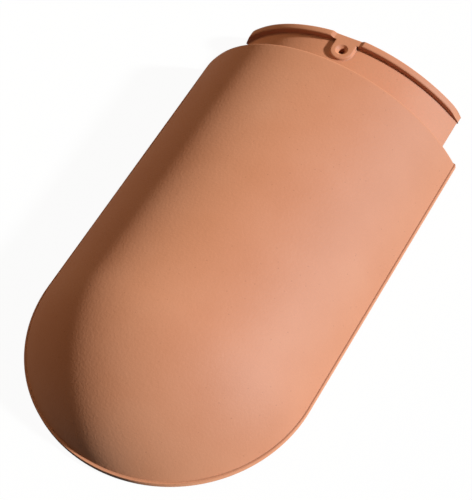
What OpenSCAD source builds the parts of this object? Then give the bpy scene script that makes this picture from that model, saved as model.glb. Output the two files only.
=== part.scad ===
// Clay hip starter tile: a half-round barrel with a domed foot, a set-down head spigot,
// a weather rim round the spigot's end and a nail lug that runs out of a notch in the rim.
// One pressed and fired piece. Millimetres, base on the floor, head towards +Y.

/* [Body] */
// Width over the two base edges
tile_w = 240; // [200:1:280]
// Length from the foot's tip to the head end
tile_len = 408; // [340:0.5:480]
// Length of the rounded foot, from its tip to the straight sides
foot_len = 113.8; // [100:0.1:125]
// Height of the crest above the base
tile_h = 80.7; // [65:0.1:100]
// Wall of the barrel, the foot and the shoulder
wall = 14; // [10:0.5:18]
// How far the trimmed base edge stands out from the barrel
edge_out = 1.5; // [0.5:0.1:3]
// Height of the trimmed base edge
edge_h = 3.5; // [2:0.1:6]
// Rounding of the shoulder's arris
shoulder_r = 1.5; // [1:0.1:6]
// Rounding where the hollow meets the shoulder
hollow_r = 6; // [2:0.5:8]

/* [Head spigot] */
// Length from the shoulder to the head end
spigot_len = 46.6; // [40:0.1:65]
// Width over the spigot's two base edges
spigot_w = 204; // [190:0.5:216]
// Height of the spigot's crest, below its rim
spigot_h = 50.3; // [40:0.1:54]
// Radius of the spigot's outer arc
spigot_r = 127.3; // [120:0.1:145]
// Wall of the spigot
spigot_wall = 12; // [9:0.5:16]
// Fillet where the spigot meets the shoulder
neck_r = 3; // [1:0.1:5]

/* [Weather rim] */
// Height of the rim over the spigot
rim_h = 5.7; // [4:0.1:8]
// Width of the rim along the tile
rim_w = 6.2; // [5:0.1:10]
// Rounding of the rim's two arrises
rim_r = 1.4; // [0.5:0.1:2.4]
// Fillet at the rim's root
rim_root_r = 1; // [0.5:0.1:2.5]

/* [Nail lug] */
// Width of the lug
lug_w = 20; // [15:0.5:24]
// Length of the lug from the head end to its tip
lug_len = 24; // [21:0.5:30]
// How far the lug's top, and the notch in the rim, lie under the rim's top
lug_drop = 2.8; // [0.5:0.1:4]
// How much wider the notch's floor is than the lug
notch_more = 3.6; // [1:0.1:6]
// How far each end of the notch leans back from floor to top
notch_lean = 4.6; // [0.2:0.1:7]
// Rounding of the lug's top edge
lug_r = 1.5; // [0.5:0.1:3]
// Nail hole
hole_d = 6; // [4.5:0.1:8]
// Distance of the hole from the head end
hole_inset = 14.5; // [12:0.1:20]
// Countersink at the lug's top
sink_d = 10.5; // [8:0.1:13]
// Depth of the countersink
sink_deep = 2.2; // [1:0.1:4]

/* [Hidden] */
$fn = 160;
clay = [0.83, 0.56, 0.41];
overrun = 5;

half_w = tile_w / 2;
foot_y = foot_len - tile_len / 2;
foot_share = foot_len / half_w;
head_y = tile_len / 2;
shoulder_y = head_y - spigot_len;
barrel_len = shoulder_y - foot_y;

// Barrel arc through the crest and the inside corner of the trimmed edge
arc_w = half_w - edge_out;
arc_h = tile_h - edge_h;
barrel_r = (arc_w * arc_w + arc_h * arc_h) / (2 * arc_h);
barrel_z = tile_h - barrel_r;
hollow_arc_r = barrel_r - wall;
hollow_share = (foot_share * barrel_r - wall) / hollow_arc_r;
hollow_len = barrel_len - wall;

spigot_z = spigot_h - spigot_r;
bore_r = spigot_r - spigot_wall;
rim_y = head_y - rim_w;
rim_sink = spigot_wall / 2;
neck_sink = wall / 2;

lug_top = spigot_h + rim_h - lug_drop;
lug_root = spigot_h - spigot_wall / 2;
lug_h = lug_top - lug_root;
tip_y = head_y - lug_len + lug_w / 2;
notch_w = lug_w + notch_more;
notch_slope = notch_lean / lug_drop;
hole_y = head_y - hole_inset;

// Half section of a bar with an oval nose: nose to one side of the origin, flat end with a rounded corner
module bar_section(r, nose_share, length, corner) {
  intersection() {
    union() {
      scale([1, nose_share]) circle(r = r);
      square([r, length - corner]);
      square([r - corner, length]);
      translate([r - corner, length - corner]) circle(r = corner);
    }
    translate([0, -r]) square([r, r + length]);
  }
}

// Turns a half section about a lengthwise axis at height z, its zero at y
module turned(y, z) {
  translate([0, y, z]) rotate([-90, 0, 0]) rotate_extrude() children();
}

// Section of the corner fillet between a surface at r and a face at y, on the side given
module fillet_section(r, y, fillet, sink, side) {
  translate([r, y]) mirror([0, side < 0 ? 1 : 0]) difference() {
    translate([-sink, -sink]) square([sink + fillet, sink + fillet]);
    translate([fillet, fillet]) circle(r = fillet);
    translate([fillet, -sink]) square([fillet, sink + fillet]);
  }
}

module rim_section() {
  translate([spigot_r - rim_sink, 0]) square([rim_sink + rim_h - rim_r, rim_w]);
  translate([spigot_r - rim_sink, rim_r]) square([rim_sink + rim_h, rim_w - 2 * rim_r]);
  translate([spigot_r + rim_h - rim_r, rim_r]) circle(r = rim_r);
  translate([spigot_r + rim_h - rim_r, rim_w - rim_r]) circle(r = rim_r);
  fillet_section(spigot_r, 0, rim_root_r, rim_sink, -1);
}

module base_edge() {
  linear_extrude(height = edge_h) {
    translate([0, foot_y]) scale([1, foot_share]) circle(r = half_w);
    translate([-half_w, foot_y]) square([tile_w, barrel_len]);
  }
}

// Cut in the rim, level with the lug's top, its two ends leaning back
module notch() {
  top_w = notch_w / 2 + notch_slope * overrun;
  translate([0, head_y + overrun, lug_top]) rotate([90, 0, 0]) linear_extrude(height = spigot_len)
    polygon([[-notch_w / 2, 0], [notch_w / 2, 0], [top_w, overrun], [-top_w, overrun]]);
}

module spigot() {
  intersection() {
    union() {
      turned(shoulder_y - neck_sink, spigot_z) square([spigot_r, spigot_len + neck_sink]);
      turned(shoulder_y, spigot_z) fillet_section(spigot_r, 0, neck_r, neck_sink, 1);
      difference() {
        turned(rim_y, spigot_z) rim_section();
        notch();
      }
    }
    translate([-spigot_w / 2, shoulder_y - neck_sink, 0]) cube([spigot_w, spigot_len + neck_sink, tile_h]);
  }
}

// Half of the lug's cross-section, its top edge rounded
module lug_section() {
  square([lug_w / 2, lug_h - lug_r]);
  square([lug_w / 2 - lug_r, lug_h]);
  translate([lug_w / 2 - lug_r, lug_h - lug_r]) circle(r = lug_r);
}

// Straight part up to the head end, and the round tip turned from the same half section
module lug() {
  translate([0, head_y, lug_root]) rotate([90, 0, 0]) linear_extrude(height = head_y - tip_y) {
    lug_section();
    mirror([1, 0]) lug_section();
  }
  translate([0, tip_y, lug_root]) rotate_extrude() lug_section();
}

module hollow() {
  turned(foot_y, barrel_z) bar_section(hollow_arc_r, hollow_share, hollow_len, hollow_r);
  turned(shoulder_y - wall - overrun, spigot_z) square([bore_r, spigot_len + wall + 2 * overrun]);
}

module nail_hole() {
  translate([0, hole_y, 0]) cylinder(d = hole_d, h = lug_top);
  translate([0, hole_y, lug_top - sink_deep]) cylinder(d1 = hole_d, d2 = sink_d, h = sink_deep);
  translate([0, hole_y, lug_top]) cylinder(d = sink_d, h = overrun);
}

module hip_starter_tile() {
  color(clay) difference() {
    union() {
      turned(foot_y, barrel_z) bar_section(barrel_r, foot_share, barrel_len, shoulder_r);
      base_edge();
      spigot();
      lug();
    }
    hollow();
    nail_hole();
    translate([-tile_w, -tile_len, -2 * barrel_r]) cube([2 * tile_w, 2 * tile_len, 2 * barrel_r]);
  }
}

hip_starter_tile();
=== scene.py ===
import math

import bmesh
import bpy
import numpy as np
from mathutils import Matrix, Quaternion, Vector


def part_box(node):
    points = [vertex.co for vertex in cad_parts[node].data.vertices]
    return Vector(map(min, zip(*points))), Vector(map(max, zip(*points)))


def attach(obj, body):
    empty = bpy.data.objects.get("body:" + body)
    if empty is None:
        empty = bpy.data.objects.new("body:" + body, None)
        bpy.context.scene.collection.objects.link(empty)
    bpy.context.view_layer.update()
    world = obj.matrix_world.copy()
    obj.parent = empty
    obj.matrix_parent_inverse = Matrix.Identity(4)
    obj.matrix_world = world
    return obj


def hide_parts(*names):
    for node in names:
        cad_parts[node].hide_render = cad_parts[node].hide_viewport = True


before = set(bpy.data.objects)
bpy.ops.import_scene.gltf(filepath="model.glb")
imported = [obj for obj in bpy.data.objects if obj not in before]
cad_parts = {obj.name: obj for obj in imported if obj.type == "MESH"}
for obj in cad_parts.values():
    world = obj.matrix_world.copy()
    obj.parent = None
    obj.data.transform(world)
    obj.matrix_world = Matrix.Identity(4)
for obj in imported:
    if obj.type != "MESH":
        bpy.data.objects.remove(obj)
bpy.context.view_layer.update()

mm = 0.001
nodeName = "hip_starter_tile"
low, high = (np.array(corner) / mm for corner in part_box(nodeName))
print("frame loaded, tile box in mm", low.round(1), high.round(1))


# small helpers

def smooth(t):  # 0 below 0, 1 above 1, level at both ends
    t = np.clip(t, 0.0, 1.0)
    return t * t * (3 - 2 * t)


def softLower(a, b, blend):  # the lower of two values, eased where they meet
    return (a + b - np.sqrt((a - b) ** 2 + blend ** 2)) / 2


def arcSteps(count, first=0.0, last=90.0):  # angles in radians, both ends included
    return np.radians(np.linspace(first, last, count))


def pair(across, z):  # section points: distance from the middle, and height
    return np.stack(np.broadcast_arrays(across, z), axis=-1)


def onArc(radius, z, angle):  # section points on an arc about an axis at height z, by angle from the crest
    return pair(radius * np.sin(angle), z + radius * np.cos(angle))


def bend(start, corner, end, count):  # quadratic curve from start to end, drawn to the corner
    t = np.linspace(0, 1, count)[None, :, None]
    return (1 - t) ** 2 * start[:, None] + 2 * t * (1 - t) * corner[:, None] + t ** 2 * end[:, None]


def gridFaces(rows, columns, start=0, flip=False):  # quads of a grid of points
    r, c = np.meshgrid(np.arange(rows - 1), np.arange(columns - 1), indexing="ij")
    a = (start + r * columns + c).ravel()
    quads = np.stack([a, a + 1, a + columns + 1, a + columns], axis=1)
    return quads[:, ::-1] if flip else quads


def makeMesh(name, points, faces):  # points in mm, faces as index rows
    mesh = bpy.data.meshes.new(name)
    mesh.from_pydata((points.reshape(-1, 3) * mm).tolist(), [], np.asarray(faces).tolist())
    mesh.update()
    piece = bpy.data.objects.new(name, mesh)
    bpy.context.scene.collection.objects.link(piece)
    return piece


def weld(piece, gap=0.004):  # closes seams and poles, then turns the faces outwards
    work = bmesh.new()
    work.from_mesh(piece.data)
    bmesh.ops.remove_doubles(work, verts=work.verts, dist=gap * mm)
    bmesh.ops.dissolve_degenerate(work, edges=work.edges, dist=gap * mm)
    bmesh.ops.recalc_face_normals(work, faces=work.faces)
    work.to_mesh(piece.data)
    openEdges = sum(1 for e in work.edges if len(e.link_faces) != 2)
    work.free()
    return openEdges


# the body: half a section carried round a U-shaped path, as an outer and an inner skin, sizes in mm

body = {
    "halfWidth": high[0],
    "height": high[2],
    "headY": high[1],
    "tipY": low[1],
    "footLength": 113.8,
    "wall": 14.0,
    "edgeOut": 1.5,  # the barrel's arc passes this far inside the edge at this height
    "edgeHeight": 3.5,
    "ledgeHeight": 4.0,  # top of the trimmed edge along the sides, and at the foot's tip
    "toeHeight": 5.4,
    "edgeRound": 0.5,
    "baseRound": 0.25,
    "creaseWide": 0.6,  # the pressed crease above the trimmed edge reaches this far to both sides
    "creaseDepth": 0.32,  # how far its curve is drawn down, of which about a third shows
    "creaseOut": 0.05,
    "shoulderRound": 1.5,
    "step": 3.6,  # spacing of the stations along the path
    "swell": 0.16,  # unevenness of the pressed clay
    "swellRise": 12.0,  # it sets in over this height above the edge
    "swellGap": 8.0,  # it is none this close to the shoulder, and sets in over this length
    "swellRun": 40.0,
    "fullness": 1.3,  # how much further out the left flank stands low down at the shoulder
    "fullHeight": 28.0,  # it fades out over this height
    "fullEven": 4.0,  # it is even this far from the shoulder, and then fades out over this length
    "fullRun": 36.0,
}
hollow = {  # the open underside
    "round": 6.0,  # inner corner behind the shoulder
    "lipRound": 2.0,  # edge where the bore opens into the hollow
    "baseIn": 0.9,  # rounded edge at the base
    "baseUp": 1.2,
}
spigot = {  # the set-down end with its rim
    "length": 46.6,
    "height": 50.3,
    "arc": 127.3,
    "wall": 12.0,
    "neckRound": 3.0,
    "rimHeight": 5.7,
    "rimWidth": 6.2,
    "rimRound": 1.4,
    "rimRoot": 1.0,
    "notchDrop": 2.8,  # the rim is cut down by this much where the lug runs out of it
    "notchHalf": 11.8,
    "notchLean": 4.6,
    "notchRound": 0.8,
    "notchBlend": 0.25,
    "baseTrim": 0.8,
    "endFoot": 102.9,  # the rim's ends are cut off by leaning planes that meet the floor this far out
    "endLean": 0.4,
    "endSoft": 5.0,  # soft upper corner and small lower corner of these ends
    "endCorner": 0.6,
    "aside": 1.0,  # how far both flanks of the rim sit towards the left
    "asideFrom": 25.0,  # the flanks begin here, and are fully moved so much further out
    "asideRun": 50.0,
}

footY = body["tipY"] + body["footLength"]
footShare = body["footLength"] / body["halfWidth"]
shoulderY = body["headY"] - spigot["length"]
hollowY = shoulderY - body["wall"]
hollowEndY = hollowY - hollow["round"]
arcWidth = body["halfWidth"] - body["edgeOut"]
arcRise = body["height"] - body["edgeHeight"]
barrelArc = (arcWidth ** 2 + arcRise ** 2) / (2 * arcRise)
barrelZ = body["height"] - barrelArc
hollowArc = barrelArc - body["wall"]
hollowShare = (footShare * barrelArc - body["wall"]) / hollowArc
spigotZ = spigot["height"] - spigot["arc"]
boreArc = spigot["arc"] - spigot["wall"]
lugTop = spigot["height"] + spigot["rimHeight"] - spigot["notchDrop"]

# places on a half arc about 150 mm long, measured from the crest, closest at the ends of the rim's notch
halfArc = 150
fromCrest = np.concatenate([
    np.arange(0, 12, 1.5),
    np.arange(12, 22, 0.4),
    np.arange(22, 40, 2.0),
    np.arange(42, halfArc, 3.0),
    [halfArc],
])
arcShare = fromCrest[::-1] / halfArc  # from the base to the crest


def bodySection(inset, toe=0.0):
    # outer half section from the base to the crest: trimmed edge, small ledge, pressed crease, barrel's arc
    # an inset shrinks it, for the rounded arris at the shoulder, and toe is 1 at the foot's tip
    wide = body["halfWidth"] - inset
    radius = barrelArc - inset
    toeLift = body["toeHeight"] - body["ledgeHeight"]
    top = body["ledgeHeight"] + toeLift * np.broadcast_to(toe, wide.shape)
    foot = body["baseRound"]
    edge = body["edgeRound"]
    meet = np.arccos((top - barrelZ) / radius)
    root = onArc(radius, barrelZ, meet)
    start = meet - body["creaseWide"] / radius
    bottomCorner = bend(pair(wide - foot, 0), pair(wide, 0), pair(wide, foot), 4)
    topCorner = bend(pair(wide, top - edge), pair(wide, top), pair(wide - edge, top), 4)
    groove = root + [body["creaseOut"], -body["creaseDepth"]]
    ledge = pair(root[:, 0] + body["creaseWide"], top)
    crease = bend(ledge, groove, onArc(radius, barrelZ, start), 9)[:, :-1]
    arc = onArc(radius[:, None], barrelZ, start[:, None] * arcShare)
    return np.concatenate([bottomCorner, topCorner, crease, arc], axis=1)


def spigotSection(rise, y):
    # outer half section of the spigot: a trimmed base edge, then an arc that stands proud by rise
    # the rise stops at the floor of the notch, which leans up at its ends and rolls over at the head end
    radius = spigot["arc"] + rise
    lean = spigot["endLean"]
    # where the leaning plane meets the arc: the upper root of a quadratic in z
    half = (lean * spigot["endFoot"] + spigotZ) / (1 + lean ** 2)
    rest = (spigot["endFoot"] ** 2 + spigotZ ** 2 - radius ** 2) / (1 + lean ** 2)
    trim = np.maximum(half + np.sqrt(np.maximum(half ** 2 - rest, 0)), spigot["baseTrim"])
    side = np.sqrt(radius ** 2 - (trim - spigotZ) ** 2)
    foot = side + lean * trim
    soft = np.minimum(spigot["endSoft"], 0.45 * trim)  # a low end has smaller corners
    corner = np.minimum(spigot["endCorner"], 0.3 * trim)
    start = np.arcsin(side / radius) - soft / radius
    bottomCorner = bend(pair(foot - corner, 0), pair(foot, 0), pair(foot - lean * corner, corner), 4)
    flank = pair(side + lean * soft, trim - soft)
    topCorner = bend(flank, pair(side, trim), onArc(radius, spigotZ, start), 13)[:, :-1]
    angle = start[:, None] * arcShare
    beyond = np.maximum(radius[:, None] * np.sin(angle) - spigot["notchHalf"], 0)
    roll = np.clip((y - body["headY"]) / spigot["notchRound"] + 1, 0, 1)
    floorZ = lugTop + beyond * spigot["notchDrop"] / spigot["notchLean"]
    floorZ = floorZ - spigot["notchRound"] * (1 - np.sqrt(1 - roll ** 2))[:, None]
    notch = (floorZ - spigotZ) / np.cos(angle) - spigot["arc"]
    stands = softLower(rise[:, None], notch, spigot["notchBlend"])
    arc = onArc(spigot["arc"] + stands, spigotZ, angle)
    return np.concatenate([bottomCorner, topCorner, arc], axis=1)


def innerSection(radius, z):  # inner half section: rounded bottom edge, then an arc about height z
    base = np.arccos(-z / radius)
    side = radius * np.sin(base)
    start = base - hollow["baseUp"] / radius
    corner = bend(pair(side + hollow["baseIn"], 0), pair(side, 0), onArc(radius, z, start), 17)[:, :-1]
    arc = onArc(radius[:, None], z, start[:, None] * arcShare)
    return np.concatenate([corner, arc], axis=1)


def straightRun(start, end):
    return np.linspace(start, end, max(3, int(abs(end - start) / body["step"])))


def faceBetween(first, last):  # three sections in between, across a flat face
    share = np.array([0.25, 0.5, 0.75])[:, None, None]
    return first * (1 - share) + last * share


# outer stations of the right half from the head end to the middle of the foot
rimRound = spigot["rimRound"]
rimRoot = spigot["rimRoot"]
rimSide = spigot["rimHeight"] - rimRound
rimFrontY = body["headY"] - spigot["rimWidth"]
rimTurn = arcSteps(6)
rootTurn = arcSteps(5)
rimRise = np.concatenate([
    rimSide + rimRound * np.sin(rimTurn),
    rimSide + rimRound * np.cos(rimTurn),
    np.linspace(rimSide, rimRoot, 4)[1:-1],
    rimRoot * (1 - np.sin(rootTurn)),
])
rimY = np.concatenate([
    body["headY"] - rimRound + rimRound * np.cos(rimTurn),
    rimFrontY + rimRound - rimRound * np.sin(rimTurn),
    np.full(2, rimFrontY),
    rimFrontY - rimRoot * (1 - np.cos(rootTurn)),
])
neckRound = spigot["neckRound"]
neckTurn = arcSteps(6)
neckY = shoulderY + neckRound * (1 - np.sin(neckTurn))
spigotRunY = straightRun(rimY[-1], shoulderY + neckRound)[1:-1]
headRunY = np.concatenate([rimY, spigotRunY, neckY])
headRise = np.concatenate([rimRise, np.zeros(len(spigotRunY)), neckRound * (1 - np.cos(neckTurn))])
arrisTurn = arcSteps(8)
arrisInset = body["shoulderRound"] * (1 - np.sin(arrisTurn))
arrisY = shoulderY - body["shoulderRound"] * (1 - np.cos(arrisTurn))
# close stations over the solid shoulder, as many as the corners of the hollow inside it, then wider ones
hollowRunY = straightRun(hollowEndY, footY)[1:]
barrelY = np.concatenate([
    np.linspace(arrisY[-1], hollowY, 9)[1:],
    np.linspace(hollowY, hollowEndY, 8)[1:],
    hollowRunY,
])
footTurn = arcSteps(46)[1:]
footRunY = np.full(len(footTurn), footY)

headPart = spigotSection(headRise, headRunY)
arrisPart = bodySection(arrisInset)
barrelPart = bodySection(np.zeros(len(barrelY)))
footPart = bodySection(np.zeros(len(footTurn)), np.sin(footTurn))
facePart = faceBetween(headPart[-1], arrisPart[0])
outerSection = np.concatenate([headPart, facePart, arrisPart, barrelPart, footPart])
outerY = np.concatenate([headRunY, np.full(3, shoulderY), arrisY, barrelY, footRunY])
turn = np.concatenate([np.zeros(len(outerY) - len(footTurn)), footTurn])
shoulderStart = len(headPart) + len(facePart)

# inner stations, as many as the outer ones, so that the base faces between the two stay inside the outline
boreY = np.concatenate([
    np.linspace(body["headY"], shoulderY, len(headRunY), endpoint=False),
    np.linspace(shoulderY, hollowY + hollow["lipRound"], len(facePart) + len(arrisY), endpoint=False),
])
lipTurn = arcSteps(5)
lipY = hollowY + hollow["lipRound"] * (1 - np.sin(lipTurn))
cornerTurn = arcSteps(7)
cornerY = hollowY - hollow["round"] * (1 - np.cos(cornerTurn))
borePart = innerSection(np.full(len(boreY), boreArc), spigotZ)
lipPart = innerSection(boreArc + hollow["lipRound"] * (1 - np.cos(lipTurn)), spigotZ)
cornerPart = innerSection(hollowArc - hollow["round"] * (1 - np.sin(cornerTurn)), barrelZ)
hollowPart = innerSection(np.full(len(hollowRunY) + len(footTurn), hollowArc), barrelZ)
stepPart = faceBetween(lipPart[-1], cornerPart[0])
innerParts = np.concatenate([borePart, lipPart, stepPart, cornerPart, hollowPart])
innerY = np.concatenate([boreY, lipY, np.full(3, hollowY), cornerY, hollowRunY, footRunY])


def carry(section, y, share):
    # carries each half section along the U: the sides move it lengthwise, the foot turns it about the apex
    # and shortens it lengthwise by share; the left half is the mirror image of the right one
    across, z = section[..., 0], section[..., 1]
    x = across * np.cos(turn)[:, None]
    along = y[:, None] - share * across * np.sin(turn)[:, None]
    right = np.stack([x, along, z], axis=-1)
    left = right[-2::-1] * [-1, 1, 1]
    return np.concatenate([right, left])


def swell(points):
    # three slow crossing waves, about a third of a millimetre at most, none at the base and the head
    # x, y and z are divided by lengths in mm
    x, y, z = points[..., 0], points[..., 1], points[..., 2]
    wave = np.sin(x / 31 + y / 47 + 0.4)
    wave = wave + 0.7 * np.sin(x / 19 - y / 36 + 2.1)
    wave = wave + 0.5 * np.sin(y / 23 + z / 17 + 1.3)
    out = np.stack([x, np.where(y < footY, y - footY, 0), z - barrelZ], axis=-1)
    out = out / np.maximum(np.linalg.norm(out, axis=-1, keepdims=True), 1)
    above = smooth((z - body["ledgeHeight"]) / body["swellRise"])
    away = smooth((shoulderY - body["swellGap"] - y) / body["swellRun"])
    return points + out * (body["swell"] * wave * (above * away))[..., None]


def rimAside(points):
    # how far each point of the rim's flanks goes left, by its share of the rim's full height
    share = np.zeros(len(outerY))
    share[:len(rimRise)] = rimRise / spigot["rimHeight"]
    share = np.concatenate([share, share[-2::-1]])[:, None]
    outside = smooth((np.abs(points[..., 0]) - spigot["asideFrom"]) / spigot["asideRun"])
    return spigot["aside"] * share * outside


def flankOut(points):
    # how far the left flank goes out at the shoulder, so that the trimmed edge runs out into it:
    # most just above the edge, less with height and away from the shoulder, and never past the edge's line
    x, z = points[..., 0], points[..., 2]
    ledge = body["ledgeHeight"]
    above = smooth(2 * z / ledge - 1) * (1 - smooth((z - ledge) / body["fullHeight"]))
    near = smooth((outerY - shoulderY + body["fullEven"] + body["fullRun"]) / body["fullRun"])
    near[:shoulderStart] = 0
    near = np.concatenate([np.zeros(len(outerY)), near[-2::-1]])[:, None]
    return near * np.minimum(body["fullness"] * above, 0.75 * (body["halfWidth"] + x))


outer = swell(carry(outerSection, outerY, footShare))
outer[..., 0] -= rimAside(outer)
outer[..., 0] -= flankOut(outer)
inner = carry(innerParts, innerY, hollowShare)
stations, columns = outer.shape[:2]
count = stations * columns
row = np.arange(stations - 1) * columns
baseFaces = np.stack([row, row + columns, row + columns + count, row + count], axis=1)
skinFaces = [gridFaces(stations, columns), gridFaces(stations, columns, count, True), baseFaces]
for end in (0, count - columns):  # the head end, right and left
    k = end + np.arange(columns - 1)
    skinFaces.append(np.stack([k, k + 1, k + 1 + count, k + count], axis=1))
clayTile = makeMesh("tileBody", np.concatenate([outer, inner]), np.concatenate(skinFaces))
print("body skin", stations, "by", columns, "open edges", weld(clayTile))


# the nail lug: half a section carried round a tongue-shaped path

lug = {
    "width": 20.0,
    "length": 24.0,
    "topRound": 1.5,
    "rootRound": 1.2,
    "rootSink": 0.05,  # its flared foot starts this far under the spigot's surface
    "buried": 4.5,  # how far it reaches into the rim
    "dip": 0.3,  # in the rim its top dips this far under the notch's floor, over this length
    "dipRun": 4.0,
    "holeWidth": 6.0,
    "holeInset": 14.5,
    "sinkWidth": 10.5,
    "sinkDepth": 2.2,
    "lipRound": 0.7,  # rolled lip of the sink, its start inside the sink's width and its flatness
    "lipIn": 0.25,
    "lipFlat": 0.6,
    "drillBelow": 20.0,
    "drillAbove": 5.0,
}
lugHalf = lug["width"] / 2
lugTipY = body["headY"] - lug["length"] + lugHalf
lugUnder = spigot["height"] - spigot["wall"] / 2


def spigotTop(x):  # height of the spigot's surface
    return spigotZ + np.sqrt(spigot["arc"] ** 2 - x ** 2)


# section from the buried middle, out under the root, up the flared side and over the rounded top
flare = arcSteps(6)
crown = arcSteps(7)
lugAcross = np.concatenate([
    [0, lugHalf + lug["rootRound"]],
    lugHalf + lug["rootRound"] * (1 - np.sin(flare)),
    lugHalf - lug["topRound"] * (1 - np.cos(crown)),
    np.linspace(lugHalf - lug["topRound"], 0, 6)[1:],
])
lugZ = np.concatenate([
    [lugUnder, lugUnder],
    lug["rootRound"] * (1 - np.cos(flare)) - lug["rootSink"],
    lugTop - lug["topRound"] * (1 - np.sin(crown)),
    np.full(5, lugTop),
])
isFlare = np.concatenate([np.zeros(2), np.ones(len(flare)), np.zeros(len(crown) + 5)])
isTop = np.concatenate([np.zeros(2 + len(flare)), np.ones(len(crown) + 5)])
# path: along one side, round the tip and back along the other
lugSideY = np.linspace(rimFrontY + lug["buried"], lugTipY, 16)[:-1]
lugTurn = arcSteps(41, 0, 180)
lugY = np.concatenate([lugSideY, np.full(len(lugTurn), lugTipY), lugSideY[::-1]])
lugAngle = np.concatenate([np.zeros(len(lugSideY)), lugTurn, np.full(len(lugSideY), math.pi)])
lugX = lugAcross * np.cos(lugAngle)[:, None]
lugAlong = lugY[:, None] - lugAcross * np.sin(lugAngle)[:, None]
# the flare sits on the spigot's curve, and the top dips under the notch's floor inside the rim
inRim = smooth((lugAlong - rimFrontY - lug["dip"]) / lug["dipRun"])
lugHeight = lugZ + isFlare * spigotTop(lugX) - isTop * lug["dip"] * inRim
lugPoints = np.stack([lugX, lugAlong, lugHeight], axis=-1)
lugRows, lugColumns = lugPoints.shape[:2]
k = np.arange(lugColumns - 1)
last = (lugRows - 1) * lugColumns
lugCap = np.stack([k, k + 1, last + k + 1, last + k], axis=1)
lugPiece = makeMesh("nailLug", lugPoints, np.concatenate([gridFaces(lugRows, lugColumns), lugCap]))
print("lug", lugRows, "by", lugColumns, "open edges", weld(lugPiece))

# the drill for the nail hole: a turned section, straight below, a cone and a rolled lip at the mouth
holeHalf = lug["holeWidth"] / 2
lipStart = lug["sinkWidth"] / 2 - lug["lipIn"]
lipCurve = arcSteps(5)
drillAcross = np.concatenate([
    [0, holeHalf, holeHalf],
    lipStart + lug["lipRound"] * (1 - np.cos(lipCurve)),
    [lipStart + lug["lipRound"], 0],
])
drillZ = np.concatenate([
    np.full(2, lugUnder - lug["drillBelow"]),
    [lugTop - lug["sinkDepth"]],
    lugTop - lug["lipRound"] * (1 - np.sin(lipCurve)) * lug["lipFlat"],
    np.full(2, lugTop + lug["drillAbove"]),
])
around = arcSteps(65, 0, 360)
drillPoints = np.stack([
    drillAcross * np.cos(around)[:, None],
    body["headY"] - lug["holeInset"] + drillAcross * np.sin(around)[:, None],
    np.broadcast_to(drillZ, (len(around), len(drillZ))),
], axis=-1)
drill = makeMesh("holeDrill", drillPoints, gridFaces(len(around), len(drillZ)))
print("drill open edges", weld(drill))


# join the lug, cut the hole, and keep one closed mesh

def cut(piece, other, how):
    step = piece.modifiers.new(how.lower(), "BOOLEAN")
    step.operation = how
    step.solver = "MANIFOLD"
    step.object = other
    bpy.context.view_layer.update()
    done = bpy.data.meshes.new_from_object(piece.evaluated_get(bpy.context.evaluated_depsgraph_get()))
    piece.modifiers.clear()
    piece.data = done
    bpy.data.objects.remove(other)


cut(clayTile, lugPiece, "UNION")
cut(clayTile, drill, "DIFFERENCE")
clayTile.name = "clayTile"
openEdges = weld(clayTile, 0.002)
clayTile.data.shade_smooth()
clayTile.data.set_sharp_from_angle(angle=math.radians(38))
print("tile", len(clayTile.data.polygons), "faces, open edges", openEdges)


# materials

def toLinear(hexColour):  # sRGB hex to linear RGBA
    parts = [int(hexColour[k:k + 2], 16) / 255 for k in (1, 3, 5)]
    return [v / 12.92 if v <= 0.04045 else ((v + 0.055) / 1.055) ** 2.4 for v in parts] + [1.0]


def addNode(tree, kind, settings=None, links=None):  # one node, with its settings and what feeds it
    node = tree.nodes.new(kind)
    for key, value in (settings or {}).items():
        if isinstance(key, str) and hasattr(node, key):
            setattr(node, key, value)
        else:
            node.inputs[key].default_value = value
    for key, source in (links or {}).items():
        tree.links.new(source, node.inputs[key])
    return node


def newMaterial(name):
    material = bpy.data.materials.new(name)
    material.use_nodes = True
    material.node_tree.nodes.clear()
    return material, material.node_tree


def perMetre(size):  # texture scale for a feature of that many mm
    return 1 / (size * mm)


# fired terracotta, pressed and unglazed: matt, warm, faintly cloudy, with fine sand, a few dark specks and
# painted shade in its corners
clay = {
    "body": "#cd8964",
    "pale": "#cf8d69",
    "deep": "#ca855f",
    "speck": "#98593a",
    "roughness": 0.68,
    "shine": 0.72,
    "cloudSize": 60.0,  # mm, slow change of colour from the kiln
    "grainSize": 0.9,  # mm, sand grain, drawn a little coarse so that it shows
    "grainRelief": 0.3,  # mm
    "sandSize": 2.2,  # mm, the sandy unevenness that shows where the light grazes
    "sandRelief": 0.14,  # mm
    "speckSize": 7.0,  # mm between dark specks
    "cornerShade": "#7c4e36",  # painted shade: a darker clay colour in the corners and creases, where shade falls
    "cornerShadeReach": 4.5,  # mm
}
claySurface, clayTree = newMaterial("firedTerracotta")
coords = addNode(clayTree, "ShaderNodeTexCoord").outputs["Object"]
clouds = addNode(clayTree, "ShaderNodeTexNoise",
                 {"Scale": perMetre(clay["cloudSize"]), "Detail": 4.0, "Roughness": 0.55},
                 {"Vector": coords})
cloudRamp = addNode(clayTree, "ShaderNodeValToRGB", {}, {"Fac": clouds.outputs["Fac"]})
cloudRamp.color_ramp.elements[0].position = 0.3
cloudRamp.color_ramp.elements[0].color = toLinear(clay["deep"])
cloudRamp.color_ramp.elements[1].position = 0.72
cloudRamp.color_ramp.elements[1].color = toLinear(clay["pale"])
middle = cloudRamp.color_ramp.elements.new(0.5)
middle.color = toLinear(clay["body"])
grain = addNode(clayTree, "ShaderNodeTexNoise",
                {"Scale": perMetre(clay["grainSize"]), "Detail": 3.0, "Roughness": 0.6},
                {"Vector": coords})
grainTone = addNode(clayTree, "ShaderNodeMapRange",
                    {"From Min": 0.3, "From Max": 0.7, "To Min": 0.97, "To Max": 1.03},
                    {"Value": grain.outputs["Fac"]})
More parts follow.
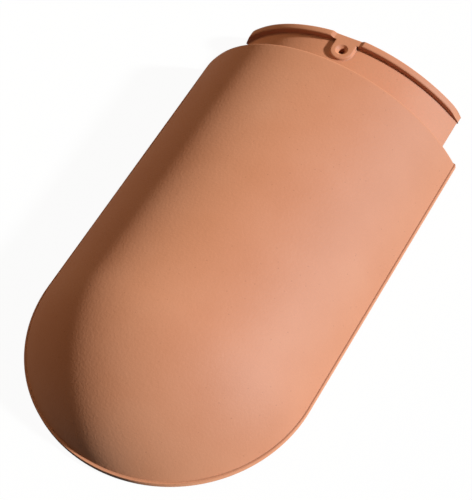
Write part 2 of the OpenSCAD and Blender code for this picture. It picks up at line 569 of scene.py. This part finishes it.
grained = addNode(clayTree, "ShaderNodeMix",
                  {"data_type": "RGBA", "blend_type": "MULTIPLY", "Factor": 1.0},
                  {6: cloudRamp.outputs["Color"], 7: grainTone.outputs["Result"]})
specks = addNode(clayTree, "ShaderNodeTexVoronoi",
                 {"Scale": perMetre(clay["speckSize"]), "Randomness": 1.0},
                 {"Vector": coords})
speckMask = addNode(clayTree, "ShaderNodeMapRange",
                    {"From Min": 0.04, "From Max": 0.09, "To Min": 0.4, "To Max": 0.0},
                    {"Value": specks.outputs["Distance"]})
specked = addNode(clayTree, "ShaderNodeMix",
                  {"data_type": "RGBA", 7: toLinear(clay["speck"])},
                  {"Factor": speckMask.outputs["Result"], 6: grained.outputs[2]})
# painted shade: ambient occlusion darkens the clay colour in corners and creases, standing in for the shade
# there
corners = addNode(clayTree, "ShaderNodeAmbientOcclusion",
                  {"samples": 16, "only_local": True, "Distance": clay["cornerShadeReach"] * mm})
paintedShadeMask = addNode(clayTree, "ShaderNodeMapRange",
                   {"From Min": 0.45, "From Max": 0.78, "To Min": 1.0, "To Max": 0.0},
                   {"Value": corners.outputs["AO"]})
shadeDarkened = addNode(clayTree, "ShaderNodeMix",
                 {"data_type": "RGBA", 7: toLinear(clay["cornerShade"])},
                 {"Factor": paintedShadeMask.outputs["Result"], 6: specked.outputs[2]})
sand = addNode(clayTree, "ShaderNodeTexNoise",
               {"Scale": perMetre(clay["sandSize"]), "Detail": 2.0, "Roughness": 0.5},
               {"Vector": coords})
sandBump = addNode(clayTree, "ShaderNodeBump",
                   {"Strength": 1.0, "Distance": clay["sandRelief"] * mm},
                   {"Height": sand.outputs["Fac"]})
grainBump = addNode(clayTree, "ShaderNodeBump",
                    {"Strength": 0.12, "Distance": clay["grainRelief"] * mm},
                    {"Height": grain.outputs["Fac"], "Normal": sandBump.outputs["Normal"]})
# an open-pored surface scatters evenly, so the lit side stays flat and the shadow side sets in sharply
matt = addNode(clayTree, "ShaderNodeBsdfPrincipled", {
    "Roughness": clay["roughness"],
    "Diffuse Roughness": 1.0,
    "Specular IOR Level": clay["shine"],
    "IOR": 1.5,
}, {"Base Color": shadeDarkened.outputs[2], "Normal": grainBump.outputs["Normal"]})
addNode(clayTree, "ShaderNodeOutputMaterial", {}, {"Surface": matt.outputs["BSDF"]})
clayTile.data.materials.clear()
clayTile.data.materials.append(claySurface)

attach(clayTile, "root")
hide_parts(nodeName)
print("clay material on the tile")


# the floor: matt white paper that the camera sees as nearly plain white, with a trace of the shadow

paper = {
    "size": 6.0,  # metres
    "colour": "#f6f6f4",
    "bounce": "#7d7b78",  # what it throws back on the tile
    "seen": 0.95,  # share of plain white that the camera sees, the rest keeps the shadow
    "mirrored": 0.2,  # how much of that white a shiny surface would show
}
floorCorners = np.array([[-1, -1, 0], [1, -1, 0], [1, 1, 0], [-1, 1, 0]]) * paper["size"] / 2 / mm
floorPiece = makeMesh("floor", floorCorners, [[0, 1, 2, 3]])
floorSurface, floorTree = newMaterial("whitePaper")
ray = addNode(floorTree, "ShaderNodeLightPath")
floorColour = addNode(floorTree, "ShaderNodeMix",
                      {"data_type": "RGBA", 6: toLinear(paper["bounce"]), 7: toLinear(paper["colour"])},
                      {"Factor": ray.outputs["Is Camera Ray"]})
plainFloor = addNode(floorTree, "ShaderNodeBsdfDiffuse", {}, {"Color": floorColour.outputs[2]})
glow = addNode(floorTree, "ShaderNodeEmission", {"Color": (1, 1, 1, 1), "Strength": 1.0})
seenRay = addNode(floorTree, "ShaderNodeMath",
                  {"operation": "MULTIPLY_ADD", 1: paper["mirrored"]},
                  {0: ray.outputs["Is Glossy Ray"], 2: ray.outputs["Is Camera Ray"]})
seenAny = addNode(floorTree, "ShaderNodeMath",
                  {"operation": "MAXIMUM"},
                  {0: seenRay.outputs[0], 1: ray.outputs["Is Transmission Ray"]})
seenShare = addNode(floorTree, "ShaderNodeMath",
                    {"operation": "MULTIPLY", 1: paper["seen"]},
                    {0: seenAny.outputs[0]})
floorMix = addNode(floorTree, "ShaderNodeMixShader", {},
                   {0: seenShare.outputs[0], 1: plainFloor.outputs[0], 2: glow.outputs[0]})
addNode(floorTree, "ShaderNodeOutputMaterial", {}, {"Surface": floorMix.outputs[0]})
floorPiece.data.materials.append(floorSurface)


# the light: a low sun from the right, a warm softbox high on the left and a trace of warm surroundings

light = {
    "sunFrom": (0.86, 0.19, 0.474),
    "sunStrength": 5.4,
    "sunAngle": 4.5,  # degrees
    "sunColour": (0.92, 1.0, 1.035),
    "softFrom": (-0.5, 0.18, 0.85),
    "softDistance": 2.0,  # metres
    "softSize": 1.0,
    "softWatts": 13.4,
    "softColour": (1.0, 0.74, 0.45),
    "around": "#ffe6d0",
    "aroundStrength": 0.004,
}
world = bpy.data.worlds.new("studio")
bpy.context.scene.world = world
world.use_nodes = True
background = world.node_tree.nodes["Background"]
background.inputs["Color"].default_value = toLinear(light["around"])
background.inputs["Strength"].default_value = light["aroundStrength"]


def addLamp(name, kind, fromWhere, distance, settings):  # a lamp that looks at the tile from a direction
    lampData = bpy.data.lights.new(name, kind)
    for key, value in settings.items():
        setattr(lampData, key, value)
    lamp = bpy.data.objects.new(name, lampData)
    toward = Vector(fromWhere).normalized()
    lamp.location = toward * distance
    lamp.rotation_euler = (-toward).to_track_quat("-Z", "Y").to_euler()
    bpy.context.scene.collection.objects.link(lamp)


addLamp("sun", "SUN", light["sunFrom"], 3, {
    "energy": light["sunStrength"],
    "angle": math.radians(light["sunAngle"]),
    "color": light["sunColour"],
})
addLamp("softbox", "AREA", light["softFrom"], light["softDistance"], {
    "energy": light["softWatts"],
    "size": light["softSize"],
    "color": light["softColour"],
})


# the camera, fitted to the outline in the photo

view = {
    "place": (400.04, -447.11, 947.71),  # mm
    "aim": (-2.20, 8.20, 0.0),
    "roll": -12.86,  # degrees
    "lens": 100.7,
}
cameraData = bpy.data.cameras.new("camera")
cameraData.sensor_width = 36
cameraData.lens = view["lens"]
cameraData.clip_start = 0.05
cameraData.clip_end = 50
camera = bpy.data.objects.new("camera", cameraData)
place = Vector(view["place"]) * mm
aim = Vector(view["aim"]) * mm
roll = Quaternion((0, 0, 1), math.radians(view["roll"]))
camera.location = place
camera.rotation_mode = "QUATERNION"
camera.rotation_quaternion = (aim - place).to_track_quat("-Z", "Y") @ roll
bpy.context.scene.collection.objects.link(camera)
bpy.context.scene.camera = camera
bpy.context.scene.view_settings.view_transform = "Standard"
print("floor, light and camera set")
